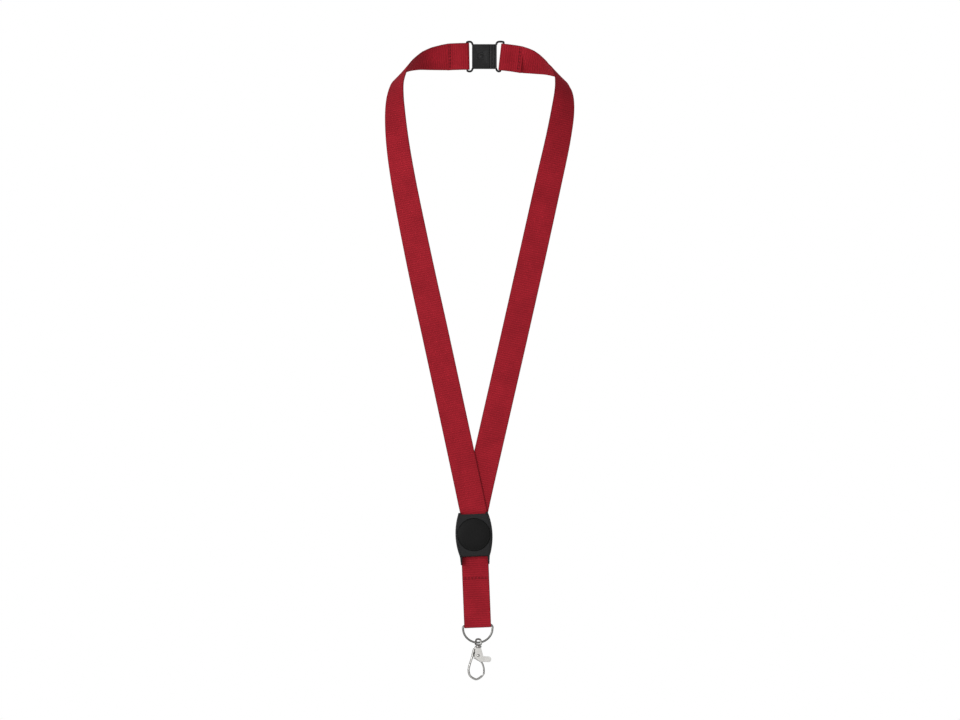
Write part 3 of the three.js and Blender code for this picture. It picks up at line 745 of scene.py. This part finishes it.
def bucklePlug():
    half, depth, wall, gap = (buckle[k] for k in ("half", "depth", "wall", "gap"))
    face, tip = buckle["seam"] + gap, buckle["cavityEnd"] + 0.6
    y0, y1 = wall + gap, depth - wall - gap
    flange = roundedBlock(buckle["seam"], half, 0, depth, -half, half, buckle["corner"], 1)
    broad, deep = buckle["groove"]
    grooves = [
        block(x, x + broad, y, y + 1.35, -half - 1, half + 1)
        for x in buckle["groovesAt"] for y in (deep - 1.35, depth - deep)
    ]
    flange = softenEdges(combine(flange, grooves), 0.12)
    prong = [
        (face + 1, 3.4), (face + 1, 6.0), (tip + 4.2, 6.0), (tip + 3.4, 7.2), (tip + 1.6, 7.2),
        (tip, 5.4), (tip, 4.2), (tip + 1.5, 3.9),
    ]
    inside = [slab([(x, s * z) for x, z in prong], y0, y1) for s in (1, -1)]
    inside.append(block(tip + 2, face + 1, y0 + 0.5, y1 - 0.5, -1.2, 1.2))
    inside = [softenEdges(part, 0.25) for part in inside]
    plug = combine(flange, [*inside, strapLoop(rightBar, rightFirst, 1, half)], "UNION")
    return finishPiece(plug, "buckle_plug_moulding", "plug", "buckle_plastic", ["buckle_plug"])


buckleSocket()
bucklePlug()
print("buckle made")

# badge: two shells clipped together over the straps, with a domed disc in the front
badge = {
    "barDrop": 68.0, "top": 16.6, "bottom": -16.4, "halfTop": 11.0, "halfMid": 13.9, "halfBottom": 11.2,
    "legTip": -22.5, "crown": 0.6, "wall": 1.1, "front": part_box("badge_front")[0].y / mm, "inner": -33.3,
    "backInner": -28.6, "back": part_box("badge_back")[1].y / mm, "edge": 0.95, "strapHalf": 10.2,
    "window": 12.45, "recess": 1.3, "groove": (1.75, 0.28), "mouth": (9.3, 15.4),
}
leg = {"outer": 10.7, "inner": 10.1, "lip": 9.5, "lipOuter": 11.0, "front": 1.2, "lipFront": 1.1}
disc = {"radius": 12.1, "thickness": 1.2, "dome": 0.5, "lip": 0.4}
post = {"x": 11.9, "z": -1.0, "radius": 0.6, "hole": 0.9, "reach": -33.6}
lowerPlace, ringDepth = lowerFrame()


def bow(a, b, c, steps=16):  # a shallow parabola from a to c
    return [
        tuple(p * (1 - t) ** 2 + 2 * q * t * (1 - t) + r * t**2 for p, q, r in zip(a, b, c))
        for t in (i / steps for i in range(steps))
    ]


def barrel(inset):
    top, bottom = badge["top"] - inset, badge["bottom"] + inset
    halfTop, halfBottom = badge["halfTop"] - inset, badge["halfBottom"] - inset
    bulge = 2 * badge["halfMid"] - (badge["halfTop"] + badge["halfBottom"]) / 2 - inset
    outline = bow((-halfTop, top), (0, top + badge["crown"]), (halfTop, top))
    outline += bow((halfTop, top), (bulge, 0), (halfBottom, bottom), 24)
    outline.append((halfBottom, bottom))
    outline += bow((-halfBottom, bottom), (-bulge, 0), (-halfTop, top), 24)
    return outline


def badgeLeg(s):  # s is -1 on the left and 1 on the right; the lip laps over the webbing's edge
    front, bottom, tip, foot = badge["front"], badge["bottom"], badge["legTip"], badge["halfBottom"]
    inner, outer, lip = leg["inner"], leg["outer"], leg["lip"]
    side = [(inner, bottom + 2), (foot, bottom + 1), (foot, bottom), (outer, tip), (inner, tip)]
    cover = [
        (lip, bottom + 2), (leg["lipOuter"], bottom + 1), (leg["lipOuter"], bottom),
        (outer - 0.1, tip), (lip + 0.4, tip + 0.4), (lip, bottom - 1),
    ]
    beside = slab([(s * x, z) for x, z in side], front + leg["front"], badge["back"] - 0.6)
    over = slab([(s * x, z) for x, z in cover], front + leg["lipFront"], ringDepth - 2.6)
    return softenEdges(combine(beside, [over], "UNION"), 0.15)


def rimEdges(bm, y):  # the edges that lie in one plane of depth
    return [e for e in bm.edges if all(abs(v.co.y - y) < 1e-4 for v in e.verts)]


def badgeFront():
    front, inner, back = badge["front"], badge["inner"], badge["back"]
    shell = slab(barrel(0), front, back)
    bevelAll(shell, rimEdges(shell, front), badge["edge"], 5)
    bevelAll(shell, rimEdges(shell, back), 0.35, 3)
    shell = combine(shell, [badgeLeg(1), badgeLeg(-1)], "UNION")
    half, mid, top = badge["strapHalf"], badge["halfMid"], badge["top"]
    mouth, brow = badge["mouth"]
    browCut = [(0.5 - mouth, top + 2), (mouth - 0.5, top + 2), (mouth, brow), (-mouth, brow)]
    window, recess = badge["window"], badge["recess"]
    cutters = [
        slab(barrel(badge["wall"]), inner, back + 1),
        block(-half, half, inner, back + 1, badge["bottom"] - 1, top + 2),
        block(-mid, mid, inner, back + 1, top - 5.5, top + 2),
        slab(browCut, front - 1, inner + 0.5),
        shifted(turned([(0, -1), (window, -1), (window, recess), (0, recess)], depthAxis, 96), y=front),
    ]
    inset, deep = badge["groove"]
    high, low = (badge["halfTop"] - inset, top + 1), (badge["halfBottom"] - inset, badge["bottom"] - 1)
    bulge = 2 * mid - (badge["halfTop"] + badge["halfBottom"]) / 2 - inset
    for s in (1, -1):
        side = bow((s * high[0], high[1]), (s * bulge, 0), (s * low[0], low[1]), 40)
        cutters.append(wire([Vector((x, front, z)) for x, z in side], deep, sides=3))
    for s in (1, -1):
        hole = turned([(0, 0), (post["hole"], 0), (post["hole"], 2), (0, 2)], depthAxis, 24)
        cutters.append(shifted(hole, x=s * post["x"], y=post["reach"] - 0.3, z=post["z"]))
    shell = softenEdges(combine(shell, cutters), 0.12, 2)
    return finishPiece(shell, "badge_front_shell", "loop", "badge_plastic", ["badge_front"], lowerPlace)


def badgeBack():
    inner, back = badge["backInner"], badge["back"]
    cover = slab(barrel(badge["wall"] + 0.3), inner, back)
    bevelAll(cover, rimEdges(cover, back), 0.5, 4)
    recess = slab([(x * 0.72, z * 0.72) for x, z in barrel(0)], back - 0.3, back + 1)
    cover = softenEdges(combine(cover, [recess]), 0.15, 2)
    reach = post["reach"]
    pins = []
    for s in (1, -1):
        r = post["radius"]
        profile = [(0, reach), (r - 0.2, reach), (r, reach + 0.2), (r, inner + 0.4), (0, inner + 0.4)]
        pins.append(shifted(turned(profile, depthAxis, 24), x=s * post["x"], z=post["z"]))
    cover = combine(cover, pins, "UNION")
    return finishPiece(cover, "badge_back_cover", "loop", "badge_plastic", ["badge_back"], lowerPlace)


def badgeDisc():
    back = badge["front"] + badge["recess"] - 0.3
    rim, radius, dome = back - disc["thickness"], disc["radius"], disc["dome"]
    profile = [(0, back), (radius, back), (radius, rim + disc["lip"])]
    profile += [(radius - 0.4 + 0.4 * math.cos(a), rim + 0.4 - 0.4 * math.sin(a)) for a in (0.5, 1.0, 1.5)]
    for i in range(13):
        r = (radius - 0.6) * (1 - i / 12)
        profile.append((r, rim - dome * (1 - (r / (radius - 0.6)) ** 4)))
    face = turned(profile, depthAxis, 96)
    return finishPiece(face, "badge_dome_disc", "loop", "disc_face", ["badge_disc"], lowerPlace)


badgeFront()
badgeBack()
badgeDisc()
print("badge made")

# tail strap, folded round the D-ring's bar
tail = {
    "top": 9.0, "barZ": -68.0, "fold": 1.45, "back": -28.5,
    "seamAt": -32.7, "jointSeamAt": 7.0, "chest": -32.0,
}


def tailPath():
    path = []
    front, barZ, radius = ringDepth - tail["fold"], tail["barZ"], tail["fold"]

    def add(y, z, tangent):
        path.append((Vector((0, y, z)), across, tangent.cross(across)))

    add(front, tail["top"], -upright)
    add(front, barZ + 6, -upright)
    for i in range(41):
        a = math.pi * i / 40
        tangent = depthAxis * math.sin(a) - upright * math.cos(a)
        add(ringDepth - radius * math.cos(a), barZ - radius * math.sin(a), tangent)
    for i in range(1, 41):
        u = i / 40
        close = 0.5 - 0.5 * math.cos(math.pi * min(1, u * 1.4))
        y = ringDepth + radius - close * (2 * radius - fold["pitch"])
        add(y, barZ + u * (tail["back"] - barZ), upright)
    return path


def tailStrap():
    seamAlong = tail["top"] - tail["seamAt"]
    bm, length = webbing(tailPath(), [(seamAlong, fold["dip"])])
    strap = finishPiece(bm, "tail_webbing", "loop", "webbing", ["tail_strap"], lowerPlace)
    return strap, length * mm


def tailStitches():
    front = ringDepth - tail["fold"] - weave["thickness"] / 2
    back = ringDepth - tail["fold"] + fold["pitch"] + weave["thickness"] / 2
    span = weave["width"] - thread["margin"]
    rows = []
    for shift in (-fold["rows"], fold["rows"]):
        z = tail["seamAt"] + shift
        rows.append(threadRow(Vector((0, front, z)), across, -depthAxis, span))
        rows.append(threadRow(Vector((0, back, z)), across, depthAxis, span))
    return finishPiece(merge(*rows), "tail_stitches", "loop", "thread", ["seam_tail"], lowerPlace)


def jointStitches():  # hold the three layers together inside the badge
    face = tail["chest"] - weave["thickness"] / 2
    span = weave["width"] - 3
    rows = [
        threadRow(Vector((0.4, face, tail["jointSeamAt"] + shift)), across, -depthAxis, span)
        for shift in (-fold["rows"], fold["rows"])
    ]
    return finishPiece(merge(*rows), "badge_joint_stitches", "loop", "thread", ["seam_joint"], lowerPlace)


tailWebbing, tailLength = tailStrap()
tailStitches()
jointStitches()
print("tail made, metres:", round(tailLength, 4))

# D-ring
ring = {"wire": 0.75, "half": 11.1, "drop": 13.0, "corner": 1.7}


def dRing():
    half, corner, drop, barZ = ring["half"], ring["corner"], ring["drop"], tail["barZ"]
    shoulder = max(drop - half, corner + 0.4)
    places = [(-half + corner, 0), (0, 0), (half - corner, 0)]
    places += [(half - 0.3 * corner, -0.3 * corner), (half, -corner)]
    places += [
        (half * math.cos(a), -shoulder - (drop - shoulder) * math.sin(a))
        for a in (math.pi * i / 10 for i in range(11))
    ]
    places += [(-half, -corner), (-half + 0.3 * corner, -0.3 * corner)]
    line = smoothRows([(x, ringDepth, barZ + z) for x, z in places], 10, closed=True)
    bm = wire(line, ring["wire"], closed=True, sides=6)
    return finishPiece(bm, "steel_d_ring", "ring", "steel_wire", ["d_ring"], lowerPlace, 60)


dRing()

# trigger hook: swivel eye, cast body, lever with gate and thumb tab, rivet and spring
eye = {"wire": 0.72, "half": 3.2, "top": 2.6, "bottom": -1.8, "turn": 48}
shank = {"radius": 0.6, "head": 1.35, "headTop": -5.4, "headBottom": -6.2}
hook = {
    "drop": 3.0, "railWidth": 1.6, "railDepth": 3.4, "plate": 0.8, "plateAt": 2.0,
    "voxel": 0.09, "calm": 9, "tipReach": 14.95, "noseReach": 15.08,
}
pivot = {"z": -6.6, "radius": 0.55, "hole": 0.85, "head": 1.05}
railLine = [
    (-2.6, -1.4), (-3.3, -2.2), (-3.9, -4.4), (-4.7, -8), (-6.6, -14), (-7.3, -18.2), (-6.3, -21.7),
    (-3.9, -23.7), (-1.5, -24.5), (0.9, -23.5), (2.7, -22), (4.2, -20),
]
gateLine = [(-2.2, -8.7), (-0.5, -9.8), (2.1, -11.4), (3.4, -13.6), (4.1, -16.4), (4.2, -19), (3.9, -22)]
eyePlace, hookPlace = hookFrame()


def flattenedRail(line, width, depth, y=0.0):  # a round bar along a line in x and z, then widened in depth
    bm = wire(smoothRows([(x, 0, z) for x, z in line], 12), width / 2, sides=5)
    bmesh.ops.scale(bm, vec=(1, depth / width, 1), verts=bm.verts)
    return shifted(bm, y=y)


def pinHole():
    hole = pivot["hole"]
    return shifted(turned([(0, -4), (hole, -4), (hole, 4), (0, 4)], depthAxis, 32), z=pivot["z"])


def swivelEye():
    half, top, bottom = eye["half"], eye["top"], eye["bottom"]
    right = [(half * 0.75, bottom + 0.15), (half, bottom + 1.1), (half * 0.9, 0.6)]
    right.append((half * 0.62, top - 0.35))
    places = [(0, bottom), *right, (0, top), *[(-x, z) for x, z in right[::-1]]]
    turn = turnAbout(upright, -math.radians(eye["turn"]))
    line = smoothRows([(x, 0, z) for x, z in places], 10, closed=True)
    bail = wire(line, eye["wire"], closed=True, sides=5)
    shifted(bail, turn=turn)
    head, headTop, headBottom, r = shank["head"], shank["headTop"], shank["headBottom"], shank["radius"]
    stem = turned([
        (0, headBottom - 0.1), (head * 0.6, headBottom), (head, headBottom + 0.3), (head, headTop - 0.1),
        (head - 0.15, headTop), (r, headTop), (r, bottom - 0.7), (r + 0.35, bottom - 0.1),
        (0, bottom + 0.3),
    ], upright, 40)
    bm = castTogether(merge(bail, stem), 0.09, 4)
    return finishPiece(bm, "swivel_eye_bail", "swivel", "nickel", ["swivel_eye"], eyePlace, 60)


def tipArc(reach):  # an arc about the pivot, between the gate's tip and the nose
    return [(x, pivot["z"] - math.sqrt(reach**2 - x**2)) for x in (0.5 * i for i in range(1, 13))]


def hookBody():
    sheet, plateAt = hook["plate"], hook["plateAt"]
    rail = flattenedRail(railLine, hook["railWidth"], hook["railDepth"])
    collar = turned([
        (0.9, -0.7), (2.15, -0.7), (2.5, -0.4), (2.5, 0.1), (2.2, 0.4), (0.9, 0.4), (0.9, -0.7),
    ], upright, 64)
    shankHole = turned([(0, -3), (0.9, -3), (0.9, 1), (0, 1)], upright, 32)
    neck = combine(block(-3.4, 1.9, -1.7, plateAt + sheet, -2, -0.3), [shankHole])
    cheek = slab([(-3.4, -9.2), (3.0, -9.6), (1.9, -1.2), (-3.6, -1.2)], plateAt, plateAt + sheet)
    bridge = block(-4.3, -3.0, 1.2, plateAt + sheet, -7.6, -2.6)
    cheek = combine(cheek, [pinHole()])
    bm = castTogether(merge(rail, collar, neck, cheek, bridge), hook["voxel"], hook["calm"])
    bm = combine(bm, [slab([*tipArc(hook["noseReach"]), (6, -15), (0.5, -15)], -4, 4)])
    return finishPiece(bm, "hook_casting", "hook", "nickel", ["hook_body"], hookPlace, 60)


def hookLever():
    sheet, plateAt = hook["plate"], hook["plateAt"]
    face = slab([
        (-2.2, -1.25), (-2.4, -4), (-2.9, -8.3), (-0.8, -10),
        (1.8, -11.6), (4.3, -11.4), (3.6, -7.2), (2.1, -1.25),
    ], -plateAt - sheet, -plateAt)
    arm = flattenedRail(gateLine, 1.3, 4.5, -0.55)
    tab = slab([
        (3.0, -7.1), (8.2, -7.5), (9.3, -8.3), (9.6, -9.5), (9.2, -10.8), (8.1, -11.5), (3.6, -11.4),
    ], -plateAt - sheet, -plateAt)
    bm = castTogether(merge(combine(face, [pinHole()]), arm, tab), hook["voxel"], hook["calm"])
    bm = combine(bm, [slab([*tipArc(hook["tipReach"]), (6, -26), (0.5, -26)], -6, 6)])
    return finishPiece(bm, "hook_trigger_lever", "lever", "nickel", ["hook_lever"], hookPlace, 60)


def leverPin():
    outer = hook["plateAt"] + hook["plate"] + 0.3
    head, r = pivot["head"], pivot["radius"]
    half = [
        (0, outer + 0.55), (head * 0.5, outer + 0.5), (head * 0.85, outer + 0.33),
        (head, outer + 0.1), (head, outer), (r, outer),
    ]
    profile = half + [(radius, -y) for radius, y in half[::-1]]
    rivet = shifted(turned(profile, depthAxis, 40), z=pivot["z"])
    return finishPiece(rivet, "lever_rivet", "hook", "nickel", ["lever_pin"], hookPlace, 60)


def leverSpring():
    coil = {"radius": 1.15, "wire": 0.2, "turns": 2.5, "from": -1.5, "to": 0.4}
    steps = 100
    line = [Vector((-2.9, coil["from"], pivot["z"] + 1.6))]
    for i in range(steps + 1):
        u = i / steps
        a = math.pi * (0.75 - 2 * coil["turns"] * u)
        y = coil["from"] + (coil["to"] - coil["from"]) * u
        line.append(Vector((coil["radius"] * math.cos(a), y, pivot["z"] + coil["radius"] * math.sin(a))))
    line.append(Vector((1.7, coil["to"], pivot["z"] - 3.1)))
    bm = wire(line, coil["wire"], sides=3)
    spring = finishPiece(bm, "lever_return_spring", None, "steel_wire", ["lever_spring"], hookPlace, 60)
    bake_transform(spring)
    return spring


swivelEye()
hookBody()
hookLever()
leverPin()
leverSpring()
print("hook made")


def makeStage():  # a pale floor well below the hook
    bm = bmesh.new()
    bmesh.ops.create_circle(bm, cap_ends=True, segments=96, radius=studio["floorRadius"])
    bmesh.ops.translate(bm, vec=upright * studio["floor"], verts=bm.verts)
    mesh = bpy.data.meshes.new("paleFloor")
    bm.to_mesh(mesh)
    bm.free()
    floor = bpy.data.objects.new("paleFloor", mesh)
    bpy.context.scene.collection.objects.link(floor)
    paper = newMaterial("palePaper", {"Base Color": (0.92, 0.92, 0.92, 1), "Roughness": 0.9})[0]
    mesh.materials.append(paper)


def makeLights():
    target = Vector(studio["aim"])
    for name, (place, size, power) in lamps.items():
        data = bpy.data.lights.new(name, "AREA")
        data.shape, data.size, data.energy = "DISK", size, power
        lamp = bpy.data.objects.new(name, data)
        lamp.location = place
        lamp.rotation_euler = (target - Vector(place)).to_track_quat("-Z", "Y").to_euler()
        bpy.context.scene.collection.objects.link(lamp)
    world = bpy.data.worlds.new("studioRoom")
    bpy.context.scene.world = world
    world.use_nodes = True
    tree = world.node_tree
    tree.nodes.clear()
    direction = addNode(tree, "ShaderNodeTexCoord").outputs["Generated"]
    height = addNode(tree, "ShaderNodeSeparateXYZ", {0: direction})
    glow = spread(tree, height.outputs[2], -0.6, 0.8, studio["roomLow"], studio["roomHigh"])
    room = addNode(tree, "ShaderNodeBackground", {"Color": (1, 1, 1, 1), "Strength": glow})
    white = addNode(tree, "ShaderNodeBackground", {"Color": (1, 1, 1, 1), "Strength": studio["backdrop"]})
    seen = addNode(tree, "ShaderNodeLightPath").outputs["Is Camera Ray"]
    both = addNode(tree, "ShaderNodeMixShader", {0: seen, 1: room.outputs[0], 2: white.outputs[0]})
    addNode(tree, "ShaderNodeOutputWorld", {"Surface": both.outputs[0]})


makeStage()
makeLights()
print("studio ready")
